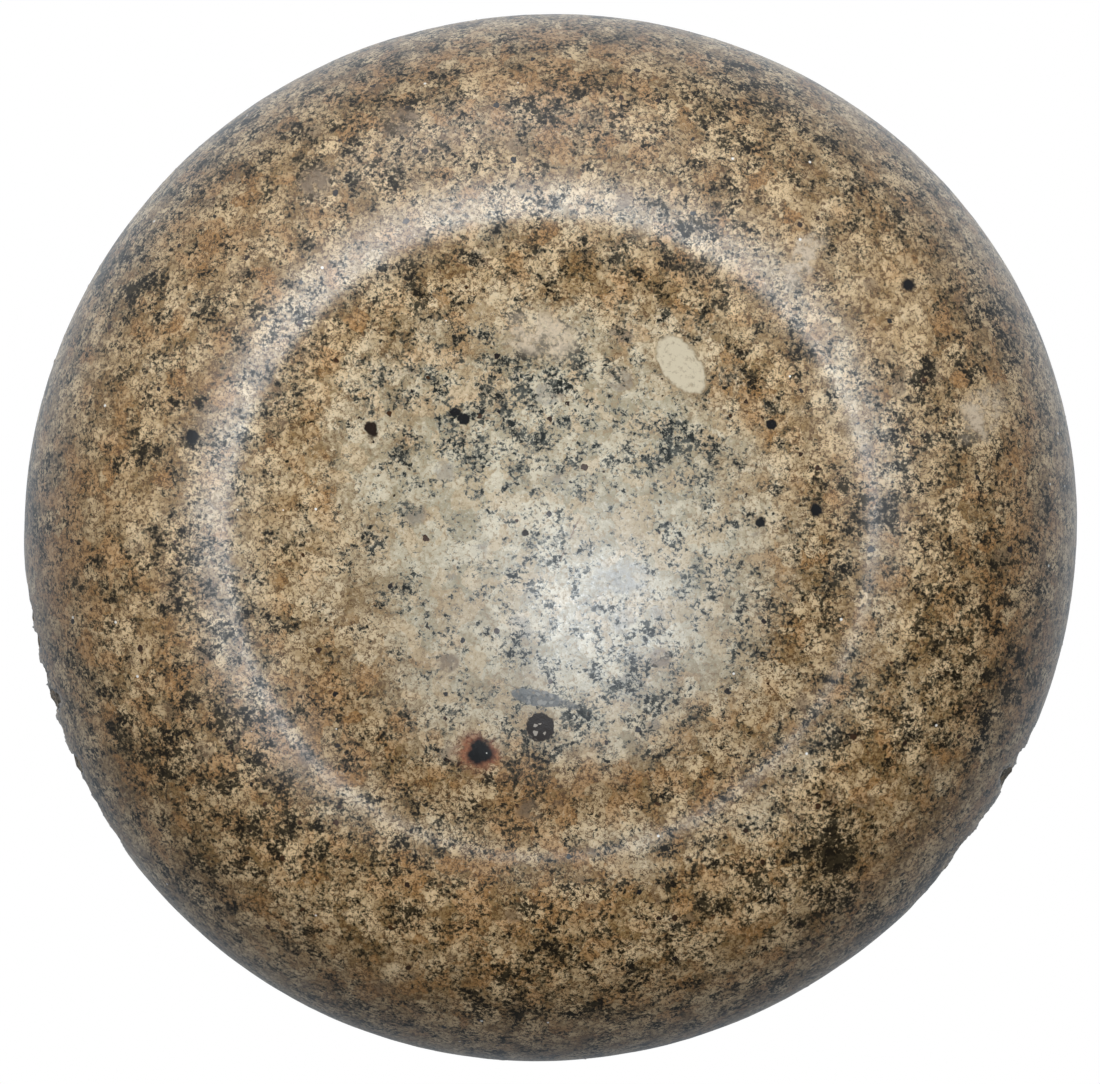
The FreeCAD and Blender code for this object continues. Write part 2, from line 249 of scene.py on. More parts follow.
def build_granite():
    """The stone as one closed lathe mesh, with its striking band in relief."""
    rows = stone_profile()
    counts = [row_segments(r, z) for r, z in rows]
    starts = [sum(counts[:index]) for index in range(len(rows))]
    vertices, shares = [], []
    for index, (r, z) in enumerate(rows):
        out = outward(rows, index)
        for step in range(counts[index]):
            azimuth = 2 * math.pi * step / counts[index]
            point, share = surface_point(r, z, azimuth, out)
            vertices.append(point * MM)
            shares.append(share)
    faces = []
    for index in range(len(rows) - 1):
        faces += bridge(starts[index], counts[index], starts[index + 1], counts[index + 1])
    cup_tip, socket_tip = len(vertices), len(vertices) + 1
    vertices += [Vector((0, 0, CUP_DEPTH)) * MM, Vector((0, 0, rows[-1][1])) * MM]
    shares += [0.0, 0.0]
    faces += [(cup_tip, b, a) for a, b in ring(starts[0], counts[0])]
    faces += [(socket_tip, a, b) for a, b in ring(starts[-1], counts[-1])]

    mesh = bpy.data.meshes.new("granite_stone")
    mesh.from_pydata(vertices, [], faces)
    mesh.update()
    mesh.shade_smooth()
    layer = mesh.attributes.new("band", "FLOAT", "POINT")
    layer.data.foreach_set("value", shares)
    stone = bpy.data.objects.new("granite_stone", mesh)
    bpy.context.scene.collection.objects.link(stone)
    return stone


# ---------------------------------------------------------------- materials
class Nodes:
    """Builds the node tree of one material or world with short calls. Sizes are millimetres."""

    def __init__(self, owner):
        self.owner = owner
        owner.use_nodes = True
        self.tree = owner.node_tree
        self.tree.nodes.clear()

    def node(self, kind, inputs, **settings):
        made = self.tree.nodes.new("ShaderNode" + kind)
        for key, value in settings.items():
            setattr(made, key, value)
        for key, value in inputs.items():
            if isinstance(value, bpy.types.NodeSocket):
                self.tree.links.new(value, made.inputs[key])
            else:
                made.inputs[key].default_value = value
        return made

    def math(self, operation, a, b=0.0, c=0.0):
        return self.node("Math", {0: a, 1: b, 2: c}, operation=operation).outputs[0]

    def times(self, a, b):
        return self.math("MULTIPLY", a, b)

    def plus(self, base, value, weight):
        """base + value * weight."""
        return self.math("MULTIPLY_ADD", value, weight, base)

    def sway(self, base, value, weight):
        """base + (value - 0.5) * weight, for a noise, which lies round 0.5."""
        return self.plus(base, self.math("SUBTRACT", value, 0.5), weight)

    def mix(self, share, a, b):
        return self.node("Mix", {0: share, 6: a, 7: b}, data_type="RGBA").outputs[2]

    def span(self, value, low, high, to_low=0.0, to_high=1.0):
        """Smooth step from to_low at low to to_high at high."""
        inputs = {0: value, 1: low, 2: high, 3: to_low, 4: to_high}
        return self.node("MapRange", inputs, interpolation_type="SMOOTHSTEP").outputs[0]

    def vector(self, operation, a, b=(0.0, 0.0, 0.0)):
        """Vector operation: the node, whose outputs are a vector and a number."""
        return self.node("VectorMath", {0: a, 1: b}, operation=operation)

    def scaled(self, vector, factor):
        return self.node("VectorMath", {0: vector, 3: factor}, operation="SCALE").outputs[0]

    def shifted(self, vector, by):
        return self.vector("ADD", vector, by).outputs[0]

    def flattened(self, vector):
        """The vector's x and y, with z at 0."""
        parts = self.node("SeparateXYZ", {0: vector}).outputs
        return self.node("CombineXYZ", {0: parts[0], 1: parts[1]}).outputs[0]

    def length(self, vector):
        return self.vector("LENGTH", vector).outputs[1]

    def dot(self, a, b):
        return self.vector("DOT_PRODUCT", a, b).outputs[1]

    def stretched(self, where, scale):
        return self.node("Mapping", {"Vector": where, "Scale": scale}).outputs[0]

    def channels(self, colour):
        return self.node("SeparateColor", {0: colour}).outputs

    def noise(self, where, size, detail=2.0, rough=0.5, colour=False):
        made = self.node("TexNoise", {"Vector": where, "Scale": 1 / size, "Detail": detail,
                                      "Roughness": rough})
        return made.outputs[1 if colour else 0]

    def cells(self, where, size):
        """Voronoi cells: distance from the middle in cell sizes, and the cell's random colour."""
        made = self.node("TexVoronoi", {"Vector": where, "Scale": 1 / size})
        return made.outputs[0], made.outputs[1]

    def place_mm(self):
        coords = self.node("TexCoord", {}).outputs["Object"]
        return self.scaled(coords, 1 / MM)

    def warp(self, where, size, amount, detail=2.0):
        """Pushes a position about, to make straight edges ragged."""
        push = self.noise(where, size, detail, colour=True)
        centred = self.shifted(push, (-0.5, -0.5, -0.5))
        return self.shifted(where, self.scaled(centred, amount))

    def spot(self, where, centre, half, turn=0.0, soft=0.25):
        """1 inside an ellipse, 0 outside. turn is in degrees about Z."""
        local = self.node("Mapping", {"Vector": where, "Location": centre,
                                      "Rotation": (0, 0, math.radians(turn)), "Scale": half},
                          vector_type="TEXTURE").outputs[0]
        return self.span(self.length(local), 1 + soft, 1 - soft)

    def streaks(self, where, axis, turn, fineness):
        """Noise drawn out along one direction, which turns with turn, degrees about axis."""
        turned = self.node("VectorRotate", {"Vector": where, "Axis": axis,
                                            "Angle": math.radians(turn)}).outputs[0]
        thin = self.vector("MULTIPLY", turned, (fineness[0], fineness[1], fineness[1])).outputs[0]
        return self.noise(thin, 1.0, 1)

    def bump(self, height_mm):
        return self.node("Bump", {"Height": height_mm, "Distance": MM, "Strength": 1.0}).outputs[0]

    def finish(self, **inputs):
        shader = self.node("BsdfPrincipled", {k.replace("_", " "): v for k, v in inputs.items()})
        self.node("OutputMaterial", {"Surface": shader.outputs[0]})
        return self.owner


def new_material(name):
    return Nodes(bpy.data.materials.new(name))


# Colours of the single marks.
PALE = (0.66, 0.59, 0.44, 1)
OUTLINE = (0.24, 0.17, 0.09, 1)
CRACK = (0.16, 0.08, 0.03, 1)
CREAM = (0.68, 0.57, 0.43, 1)
BLACK = (0.012, 0.012, 0.013, 1)
SLATE = (0.12, 0.128, 0.130, 1)
BROWN_BLACK = (0.022, 0.014, 0.010, 1)
SMOKE = (0.20, 0.145, 0.095, 1)
COOL = (0.36, 0.355, 0.33, 1)
RUST = (0.36, 0.11, 0.05, 1)
RAGGED, BLURRED = "ragged", "blurred"
CRYSTAL = (-33.9, 44.3, 4)   # the pale oval crystal, the black garnet and the slate-coloured lath
GARNET = (2.3, -49.6, 7)
LATH = (3.1, -42.0, 8)
# Single grains and marks of the running face: centre x, y, z; half sizes; turn about Z; colour;
# softness of the edge; kind of edge. The cup's surface lies at z = 0 to 12, the flank above that.
MARKS = (
    (CRYSTAL, (5.2, 8.6, 30), -35, OUTLINE, 0.08, BLURRED),
    (CRYSTAL, (4.9, 8.3, 30), -35, PALE, 0.08, BLURRED),
    ((-6.0, 0.5, 12), (0.22, 9.0, 30), 25, CRACK, 0.8, RAGGED),
    ((2.3, 52.0, 4), (9.0, 5.5, 30), 10, CREAM, 0.5, BLURRED),
    ((-112.0, 31.0, 28), (5.5, 8.5, 40), 30, CREAM, 0.35, BLURRED),
    ((-66.0, 72.0, 2), (3.5, 8.0, 30), 30, CREAM, 0.4, BLURRED),
    ((-18.4, -11.4, 11), (6.5, 4.2, 30), 8, COOL, 0.7, BLURRED),
    ((-28.8, -31.6, 9), (2.6, 2.4, 30), 0, SMOKE, 0.25, RAGGED),
    ((26.2, -32.6, 9), (3.0, 2.8, 30), 0, SMOKE, 0.25, RAGGED),
    ((39.2, 107.4, 12), (5.5, 4.0, 30), 0, SMOKE, 0.35, BLURRED),
    ((60.1, 91.6, 8), (4.5, 3.8, 30), 0, SMOKE, 0.35, BLURRED),
    ((5.0, -71.0, 2), (3.5, 3.2, 30), 0, SMOKE, 0.3, BLURRED),
    ((18.4, -56.4, 6), (5.6, 4.6, 30), 20, RUST, 0.5, BLURRED),
    ((17.9, -56.0, 6), (2.8, 3.8, 30), 10, BLACK, 0.35, BLURRED),
    (LATH, (6.8, 2.1, 30), 10, SLATE, 0.06, RAGGED),
    ((-4.6, -43.8, 8), (3.0, 1.0, 30), 12, SLATE, 0.3, RAGGED),
    (GARNET, (3.7, 3.7, 30), 0, BROWN_BLACK, 0.05, RAGGED),
    ((24.4, 32.1, 9), (1.5, 1.0, 30), 0, BLACK, 0.15, RAGGED),
    ((22.0, 30.3, 9), (1.7, 1.4, 30), 0, BLACK, 0.15, RAGGED),
    ((45.9, 27.5, 6), (2.0, 2.2, 30), 30, BROWN_BLACK, 0.2, BLURRED),
    ((6.2, 0.8, 12), (0.9, 0.9, 30), 0, BROWN_BLACK, 0.2, RAGGED),
    ((92.0, 25.7, 2), (2.0, 2.0, 30), 0, BLACK, 0.3, RAGGED),
    ((-93.0, 65.0, 12), (1.9, 1.7, 30), 0, BLACK, 0.3, RAGGED),
    ((-69.0, 6.7, 2), (1.6, 1.9, 30), 0, BLACK, 0.3, RAGGED),
    ((-54.7, 3.4, 4), (1.3, 1.3, 30), 0, BLACK, 0.2, RAGGED),
    ((-57.5, 28.8, 4), (1.5, 1.3, 30), 0, BLACK, 0.2, RAGGED),
)
# Rusty stains (or cleaner places, below 0): centre, half sizes, turn, how strongly.
STAINS = (
    ((15.0, 116.0, 20), (42.0, 13.0, 40), 0, 0.50),
    ((85.0, 79.0, 12), (14.0, 12.0, 40), 0, 0.35),
    ((125.0, -10.0, 30), (13.0, 30.0, 40), 0, 0.50),
    ((-121.0, -20.0, 30), (12.0, 36.0, 40), 0, 0.60),
    ((-3.0, -66.0, 4), (24.0, 6.5, 30), 0, 0.60),
    ((56.0, -52.0, 4), (13.0, 11.0, 30), 0, 0.35),
    ((13.0, -94.0, 8), (32.0, 12.0, 40), 0, 0.35),
    ((92.0, -57.0, 14), (21.0, 20.0, 40), 0, 0.32),
    ((-85.0, 60.0, 8), (13.0, 13.0, 40), 0, -0.35),
)
# painted shade and painted light: the cup's colour is darkened towards this side and lightened on
# the other
PAINTED_SHADE_SIDE = (-0.15, -0.99, 0.0)
WORN_SIDE = (0.38, 0.92, 0.0)   # the running band is worn glossiest this way
# Places where the mica gathers (or is sparse, below 0): centre, half sizes, turn, how strongly.
CLOTS = (
    ((-33.9, 27.0, 8), (4.5, 5.5, 30), 20, 0.10),
    ((-73.0, -80.0, 6), (5.5, 4.0, 30), -10, 0.17),
    ((93.0, -1.0, 2), (5.0, 5.0, 30), 0, 0.09),
    ((105.8, 65.3, 20), (7.0, 2.4, 40), -27, 0.18),
    ((103.6, 21.8, 6), (3.0, 2.6, 30), 0, 0.13),
    ((3.7, 108.9, 12), (5.5, 3.5, 30), 10, 0.11),
    ((-87.0, 6.0, 0), (3.2, 3.2, 30), 0, 0.12),
    ((36.0, -17.0, 9), (22.0, 24.0, 40), 0, -0.085),
    ((-64.0, 13.0, 6), (20.0, 22.0, 40), 0, -0.060),
    ((55.0, 28.0, 5), (14.0, 22.0, 40), 0, -0.050),
    ((-85.0, 60.0, 8), (13.0, 14.0, 40), 0, -0.150),
    ((41.0, 80.0, 2), (12.0, 9.0, 40), 0, -0.080),
    ((-56.0, -45.0, 5), (12.0, 9.0, 40), 0, -0.060),
    ((-86.0, -69.0, 5), (12.0, 12.0, 40), 0, -0.075),
    ((36.0, -67.0, 4), (16.0, 9.0, 40), 0, -0.070),
    ((107.0, 6.0, 10), (12.0, 18.0, 40), 0, -0.060),
    ((14.0, 46.0, 6), (24.0, 15.0, 40), 0, 0.025),
    ((-12.0, -45.0, 8), (18.0, 10.0, 40), 0, 0.055),
    ((-93.0, -47.0, 8), (24.0, 13.0, 40), 0, 0.075),
    ((97.0, -47.0, 8), (22.0, 13.0, 40), 0, 0.055),
    ((-86.0, 18.0, 4), (10.0, 13.0, 40), 0, 0.080),
    ((-65.0, 104.0, 14), (12.0, 12.0, 40), 0, 0.045),
    ((-41.0, -6.0, 8), (12.0, 12.0, 40), 0, 0.065),
    ((42.0, 39.0, 6), (9.0, 9.0, 40), 0, 0.060),
    ((-127.0, -4.0, 25), (9.0, 12.0, 40), 0, 0.050),
    ((-21.0, -27.0, 9), (11.0, 10.0, 40), 0, 0.045),
    ((2.0, -4.0, 11), (9.0, 9.0, 40), 0, 0.030),
    ((-85.0, -25.0, 4), (9.0, 9.0, 40), 0, -0.055),
    ((-64.0, 81.0, 4), (10.0, 9.0, 40), 0, -0.055),
    ((63.0, -4.0, 6), (11.0, 12.0, 40), 0, -0.055),
    ((50.0, -32.0, 6), (18.0, 14.0, 40), 0, -0.050),
)


class Granite(Nodes):
    """Grey-cream granite with black mica, browned by handling and iron, polished by hand."""

    def __init__(self):
        super().__init__(bpy.data.materials.new("granite"))
        self.place = self.place_mm()
        self.jagged = self.warp(self.place, 1.1, 1.3, 2)
        self.blurred = self.warp(self.jagged, 5.0, 4.5, 1)
        self.flat = self.flattened(self.place)
        self.radius = self.length(self.flat)
        self.patch = self.noise(self.blurred, 10, 3, 0.62)
        self.seam = self.noise(self.jagged, 3.6, 3, 0.62)
        self.thin = self.span(self.seam, 0.60, 0.42, 0.25, 0.90)
        self.mottle = self.noise(self.jagged, 1.1, 3, 0.72)
        self.pecks = self.noise(self.place, 1.3, 3, 0.68)
        self.band = self.ragged_band()
        self.rusty = self.rust()
        self.stain = self.browning()
        # the mica's grey or brown shade, and its solid black
        depth = self.mica_depth()
        self.shaded = self.span(depth, 0.525, 0.615, 0.0, 0.85)
        self.inked = self.span(depth, 0.605, 0.665)

    def ragged_band(self):
        """1 on the struck band and its chips, 0 on the polished flank, with a ragged edge."""
        struck = self.node("Attribute", {}, attribute_name="band").outputs["Fac"]
        ragged = self.sway(struck, self.noise(self.place, 2.4, 3, 0.65), 1.6)
        return self.times(self.span(ragged, 0.30, 0.62), self.span(struck, 0.0, 0.15))

    def rust(self):
        """How rusty the stone is, from the table of stains."""
        rusty = 0.0
        for centre, half, turn, strength in STAINS:
            rusty = self.plus(rusty, self.spot(self.blurred, centre, half, turn, 0.8), strength)
        return rusty

    def browning(self):
        """How browned the surface is: little in the middle of the cup, most on the flank."""
        stain = self.span(self.radius, 28.0, 84.0, 0.06, 0.95)
        scoured = self.times(self.span(self.radius, 74, 84), self.span(self.radius, 98, 88))
        stain = self.plus(stain, scoured, -0.22)
        stain = self.sway(stain, self.noise(self.place, 34, 1), 0.7)
        stain = self.sway(stain, self.patch, 1.1)
        stain = self.plus(stain, self.rusty, 0.8)
        return self.span(stain, 0.0, 1.0)

    def mica_depth(self):
        """How thick the mica lies: fine flakes, gathered in clots and in wide areas."""
        depth = self.noise(self.jagged, 1.0, 3, 0.68)
        depth = self.sway(depth, self.noise(self.place, 5.5, 2, 0.65), 0.72)
        depth = self.sway(depth, self.noise(self.place, 30, 0), 0.20)
        for centre, half, turn, strength in CLOTS:
            depth = self.plus(depth, self.spot(self.place, centre, half, turn, 0.7), strength)
        depth = self.plus(depth, self.stain, 0.018)
        return self.math("ADD", depth, 0.008)

    def feldspar(self):
        """Cream and grey-cream grains, turned ochre and orange where the stone is stained."""
        far, tint = self.cells(self.blurred, 5.2)
        grain = self.channels(tint)
        tone = self.sway(0.5, far, -0.4)
        tone = self.sway(tone, grain[0], 0.60)
        tone = self.sway(tone, self.patch, -1.2)
        tone = self.sway(tone, self.seam, 1.2)
        tone = self.span(tone, 0.0, 1.0)
        clean = self.mix(tone, (0.36, 0.320, 0.216, 1), (0.68, 0.625, 0.482, 1))
        tan = self.span(grain[1], 0.56, 0.78, 0, 0.50)
        clean = self.mix(tan, clean, (0.60, 0.46, 0.28, 1))
        browned = self.mix(tone, (0.29, 0.183, 0.074, 1), (0.77, 0.580, 0.340, 1))
        orange = self.math("ADD", self.sway(grain[1], self.patch, 1.5), self.rusty)
        orange = self.span(orange, 0.58, 1.15, 0, 0.62)
        browned = self.mix(orange, browned, (0.48, 0.250, 0.090, 1))
        return self.mix(self.stain, clean, browned)

    def mottled(self, colour):
        """Adds fine brown and pale mottling."""
        ochre = self.mix(self.stain, (0.36, 0.265, 0.155, 1), (0.115, 0.058, 0.021, 1))
        browner = self.plus(self.mottle, self.stain, 0.025)
        colour = self.mix(self.span(browner, 0.505, 0.630, 0.0, 0.92), colour, ochre)
        fleck = self.mix(self.stain, (0.78, 0.74, 0.64, 1), (0.74, 0.60, 0.41, 1))
        return self.mix(self.span(self.mottle, 0.45, 0.32, 0.0, 0.48), colour, fleck)

    def with_quartz(self, colour):
        """Adds grains of smoky quartz."""
        far, tint = self.cells(self.blurred, 9.0)
        picked = self.math("GREATER_THAN", self.channels(tint)[0], 0.82)
        quartz = self.times(self.times(self.span(far, 0.40, 0.30), picked), self.thin)
        smoky = self.mix(self.stain, (0.30, 0.285, 0.26, 1), (0.17, 0.115, 0.07, 1))
        return self.mix(self.times(quartz, 0.6), colour, smoky)

    def veined(self, colour):
        """Adds fine brown veins between the grains."""
        off_seam = self.math("ABSOLUTE", self.math("SUBTRACT", self.seam, 0.5))
        browner = self.span(self.stain, 0.0, 0.8, 0.15, 0.85)
        vein = self.times(self.span(off_seam, 0.016, 0.005), browner)
        return self.mix(vein, colour, (0.085, 0.040, 0.016, 1))

    def with_mica(self, colour):
        """Adds black mica: a grey or brown shade round ragged black flakes."""
        shade = self.mix(self.stain, (0.160, 0.170, 0.150, 1), (0.086, 0.066, 0.034, 1))
        colour = self.mix(self.shaded, colour, shade)
        black = self.mix(self.stain, (0.018, 0.022, 0.021, 1), (0.018, 0.014, 0.009, 1))
        black = self.mix(self.span(self.seam, 0.47, 0.60, 0.0, 0.45), black, shade)
        return self.mix(self.inked, colour, black)

    def specked(self, colour):
        """Adds single black and rust-brown specks."""
        near, tint = self.cells(self.jagged, 4.6)
        pick = self.channels(tint)
        reach = self.times(self.math("POWER", pick[0], 2.5), 0.20)
        dark = self.mix(pick[1], BLACK, (0.06, 0.028, 0.012, 1))
        return self.mix(self.math("LESS_THAN", near, reach), colour, dark)

    def marked(self, colour):
        """Adds the single grains and marks. The dark ones lose their shine, like the mica."""
        worn = self.span(self.mottle, 0.68, 0.50, 0.45, 0.95)
        for centre, half, turn, tint, softness, edge in MARKS:
            where = self.jagged if edge == RAGGED else self.blurred
            spot = self.spot(where, centre, half, turn, softness)
            if tint[0] > 0.1:
                spot = self.times(spot, worn)
                if softness > 0.2:
                    spot = self.times(spot, self.thin)
            else:
                self.inked = self.math("MAXIMUM", self.inked, spot)
            colour = self.mix(spot, colour, tint)
        return colour

    def with_painted_glints(self, colour):
        """Paints glints into the base colour: pale specks in the garnet and the lath, and a few
        near-white painted highlights.
        """
        pick = self.channels(self.cells(self.place, 1.0)[1])[1]
        # painted highlights: pale glint specks painted into the garnet's and the lath's colour
        painted_glint = self.math("GREATER_THAN", pick, 0.86)
        garnet = self.times(painted_glint, self.spot(self.place, GARNET, (3.0, 3.0, 30)))
        colour = self.mix(garnet, colour, (0.42, 0.38, 0.33, 1))
        lath = self.times(painted_glint, self.spot(self.place, LATH, (6.5, 2.0, 30), 10))
        colour = self.mix(self.times(lath, 0.6), colour, COOL)
        # painted highlights: a few near-white specks painted into the colour
        far, tint = self.cells(self.place, 7.0)
        picked = self.math("GREATER_THAN", self.channels(tint)[1], 0.80)
        painted_flash = self.times(self.math("LESS_THAN", far, 0.055), picked)
        return self.mix(painted_flash, colour, (0.90, 0.89, 0.86, 1))

    def bruised_with_painted_shade(self, colour):
        """Makes the struck band paler and greyer, and paints shade into its deepest pecks."""
        bruise = self.times(self.band, self.span(self.pecks, 0.40, 0.62, 0.25, 0.80))
        colour = self.mix(bruise, colour, (0.47, 0.435, 0.375, 1))
        # painted shade: the deepest pecks of the relief darkened
        painted_pit_shade = self.times(self.band, self.span(self.pecks, 0.42, 0.34, 0.0, 0.60))
        return self.mix(painted_pit_shade, colour, (0.10, 0.085, 0.065, 1))

    def darkened_by_rust_and_painted_shade(self, colour):
        """Darkens the rusty places and the flank's edge, and paints light and shade across the cup:
        darker towards -Y, lighter towards +Y."""
        # painted light and shade: the cup's colour darker towards -Y and lighter towards +Y
        side = self.span(self.dot(self.flat, PAINTED_SHADE_SIDE), -60.0, 60.0, -0.22, 0.20)
        rust_edge_and_painted_shade = self.times(self.span(self.radius, 100, 75), side)
        rust_edge_and_painted_shade = self.plus(rust_edge_and_painted_shade, self.rusty, 0.20)
        # darker towards the flank's edge
        rust_edge_and_painted_shade = self.plus(rust_edge_and_painted_shade, self.span(self.radius, 110, 136), 0.26)
        return self.scaled(colour, self.math("SUBTRACT", 1.0, rust_edge_and_painted_shade))

    def relief(self):
        """Fine surface relief, millimetres: pores, polishing strokes and the band's pecks."""
        height = self.times(self.noise(self.place, 0.30, 1, 0.6), 0.014)
        height = self.plus(height, self.noise(self.place, 2.6, 1, 0.6), 0.014)
        choice = self.span(self.noise(self.place, 14, 1), 0.46, 0.54)
        strokes = [self.streaks(self.place, (0.1, 0.2, 1), turn, (4.5, 0.2)) for turn in (20, 115)]
        height = self.plus(height, self.mix(choice, *strokes), 0.007)
        return self.plus(height, self.times(self.band, self.pecks), 0.9)

    def gloss(self):
        """Roughness and shine: dull on the rim's unworn side, and stronger outside the cup."""
        way = self.vector("NORMALIZE", self.flat).outputs[0]
        dull = self.span(self.dot(way, WORN_SIDE), -0.1, -0.7)
        dull = self.times(dull, self.span(self.radius, 55, 75))
        dull = self.times(dull, self.span(self.radius, 128, 108))
        outside = self.span(self.radius, 68, 80)
        rough = self.span(self.mottle, 0.3, 0.7, 0.23, 0.29)
        for part, weight in ((outside, 0.14), (dull, -0.06), (self.band, 0.40)):
            rough = self.plus(rough, part, weight)
        shine = self.plus(0.5, self.inked, -0.25)
        shine = self.times(shine, self.plus(1.0, dull, -0.80))
        return rough, self.times(shine, self.plus(0.44, outside, 0.86))

    def build(self):
        colour = self.feldspar()
        for layer in (self.mottled, self.with_quartz, self.veined, self.with_mica, self.specked,
                      self.marked, self.with_painted_glints, self.bruised_with_painted_shade, self.darkened_by_rust_and_painted_shade):
            colour = layer(colour)
        rough, shine = self.gloss()
        return self.finish(Base_Color=colour, Roughness=rough, Normal=self.bump(self.relief()),
                           IOR=1.54, Specular_IOR_Level=shine,
                           Specular_Tint=(0.86, 0.93, 1.0, 1))


def scratches(n, place):
    """Fine straight scratches in two directions."""
    lines = [n.span(n.streaks(place, (0.3, 0.2, 1), turn, (4.5, 0.08)), 0.70, 0.78)
             for turn in (25, 118)]
    return n.math("MAXIMUM", *lines)


def grip_coords(n):
    """Millimetres along the grip: z runs along its axis, from the ferrule by the neck."""
    start, end = ((Vector(low) + Vector(high)) / 2
                  for low, high in (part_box("front_ferrule"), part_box("cap_nut")))
    turn = Vector((0, 0, 1)).rotation_difference((end - start).normalized()).to_euler()
    coords = n.node("TexCoord", {}).outputs["Object"]
    local = n.node("Mapping", {"Vector": coords, "Location": start, "Rotation": turn},
                   vector_type="TEXTURE").outputs[0]
    return n.scaled(local, 1 / MM)


def grip_wood():
    """Dark turned hardwood, oiled and handled: growth rings cut by the turned shape, open pores."""
    n = new_material("grip_wood")
    place = grip_coords(n)
    drawn = n.stretched(place, (1.0, 1.0, 0.05))
    ring_r = n.length(n.flattened(n.shifted(n.warp(drawn, 9, 5), (22.0, 9.0, 0.0))))
    rings = n.span(n.math("SINE", n.times(ring_r, 2.3)), -0.6, 0.95)
    colour = n.mix(rings, (0.040, 0.014, 0.007, 1), (0.155, 0.055, 0.022, 1))
    streak = n.span(n.noise(drawn, 1.6, 4, 0.6), 0.42, 0.66, 0, 0.7)
    colour = n.mix(streak, colour, (0.022, 0.008, 0.005, 1))
    pore = n.span(n.noise(n.stretched(place, (2.6, 2.6, 0.16)), 1.0, 2, 0.6), 0.62, 0.70)
    colour = n.mix(pore, colour, (0.010, 0.005, 0.004, 1))
    worn = n.noise(place, 14, 3, 0.55)
    colour = n.mix(n.span(worn, 0.52, 0.70, 0, 0.32), colour, (0.30, 0.135, 0.055, 1))
    height = n.times(pore, -0.06)
    height = n.plus(height, n.noise(n.stretched(place, (0.05, 0.05, 2.2)), 1.0, 2), 0.018)
    height = n.plus(height, n.noise(place, 6, 2), 0.08)
    rough = n.plus(n.span(worn, 0.4, 0.65, 0.42, 0.27), pore, 0.3)
    return n.finish(Base_Color=colour, Roughness=rough, Normal=n.bump(height), Coat_Weight=0.25,
                    Coat_Roughness=0.22)


def brass(name, polish, turned):
    """Old brass: bright where hands rub it, brown and green in the hollows, fine scratches."""
    n = new_material(name)
    place = grip_coords(n) if turned else n.place_mm()
    crease = n.node("AmbientOcclusion", {"Distance": 0.006}, samples=8, inside=False)
    hollow = n.span(crease.outputs["AO"], 0.92, 0.45)
    cloud = n.noise(n.warp(place, 10, 6), 13, 4, 0.6)
    tarnish = n.math("ADD", n.span(cloud, 0.40, 0.72, 0.0, 1.0 - polish), hollow)
    tarnish = n.math("MINIMUM", tarnish, 1.0)
    colour = n.mix(tarnish, (0.73, 0.50, 0.22, 1), (0.18, 0.095, 0.035, 1))
    verdigris = n.times(n.span(n.noise(place, 2.0, 3, 0.6), 0.52, 0.66), hollow)
    colour = n.mix(n.times(verdigris, 0.55), colour, (0.10, 0.19, 0.13, 1))
    spots = n.span(n.cells(n.warp(place, 2, 1.5), 3.2)[0], 0.16, 0.06)
    colour = n.mix(n.times(spots, 0.45), colour, (0.12, 0.06, 0.025, 1))
    if turned:
        height = n.times(n.noise(n.stretched(place, (0.06, 0.06, 4.5)), 1.0, 2), 0.010)
    else:
        height = n.times(n.noise(place, 2.2, 3, 0.6), 0.055)
    height = n.plus(height, scratches(n, place), -0.010)
    height = n.plus(height, n.noise(place, 9, 2), 0.12)
    height = n.plus(height, spots, -0.020)
    rough = n.span(n.noise(place, 3.0, 4, 0.6), 0.3, 0.7, 0.20, 0.34)
    rough = n.plus(rough, tarnish, 0.26)
    metal = n.plus(1.0, verdigris, -0.5)
    return n.finish(Base_Color=colour, Metallic=metal, Roughness=rough, Normal=n.bump(height))


def leather():
    """Dark harness leather, its grain creased and its cut edge burnished."""
    n = new_material("leather")
    place = n.place_mm()
    crease = n.span(n.cells(n.warp(place, 1.2, 0.5), 0.9)[0], 0.35, 0.75)
    cloud = n.noise(place, 7, 3, 0.6)
    colour = n.mix(cloud, (0.030, 0.014, 0.008, 1), (0.115, 0.055, 0.026, 1))
    colour = n.mix(n.times(crease, 0.6), colour, (0.018, 0.009, 0.006, 1))
    scuff = n.span(n.noise(place, 2.2, 3), 0.6, 0.72, 0, 0.5)
    colour = n.mix(scuff, colour, (0.17, 0.10, 0.055, 1))
    height = n.plus(n.times(crease, -0.07), n.noise(place, 0.5, 3), 0.05)
    rough = n.span(cloud, 0.3, 0.7, 0.72, 0.50)
    return n.finish(Base_Color=colour, Roughness=rough, Normal=n.bump(height))


def iron(name):
    """Oiled wrought iron: black scale, with brown rust in patches."""
    n = new_material(name)
    place = n.place_mm()
    rust = n.span(n.noise(n.warp(place, 3, 2), 4.5, 4, 0.65), 0.46, 0.62)
    scale = n.mix(n.noise(place, 1.2, 3), (0.045, 0.040, 0.037, 1), (0.16, 0.145, 0.135, 1))
    brown = n.mix(n.noise(place, 0.8, 2), (0.085, 0.030, 0.012, 1), (0.22, 0.085, 0.030, 1))
    height = n.plus(n.times(n.noise(place, 0.7, 4, 0.65), 0.08), rust, 0.03)
    return n.finish(Base_Color=n.mix(rust, scale, brown), Metallic=n.plus(0.95, rust, -0.85),
                    Roughness=n.plus(0.36, rust, 0.38), Normal=n.bump(height))


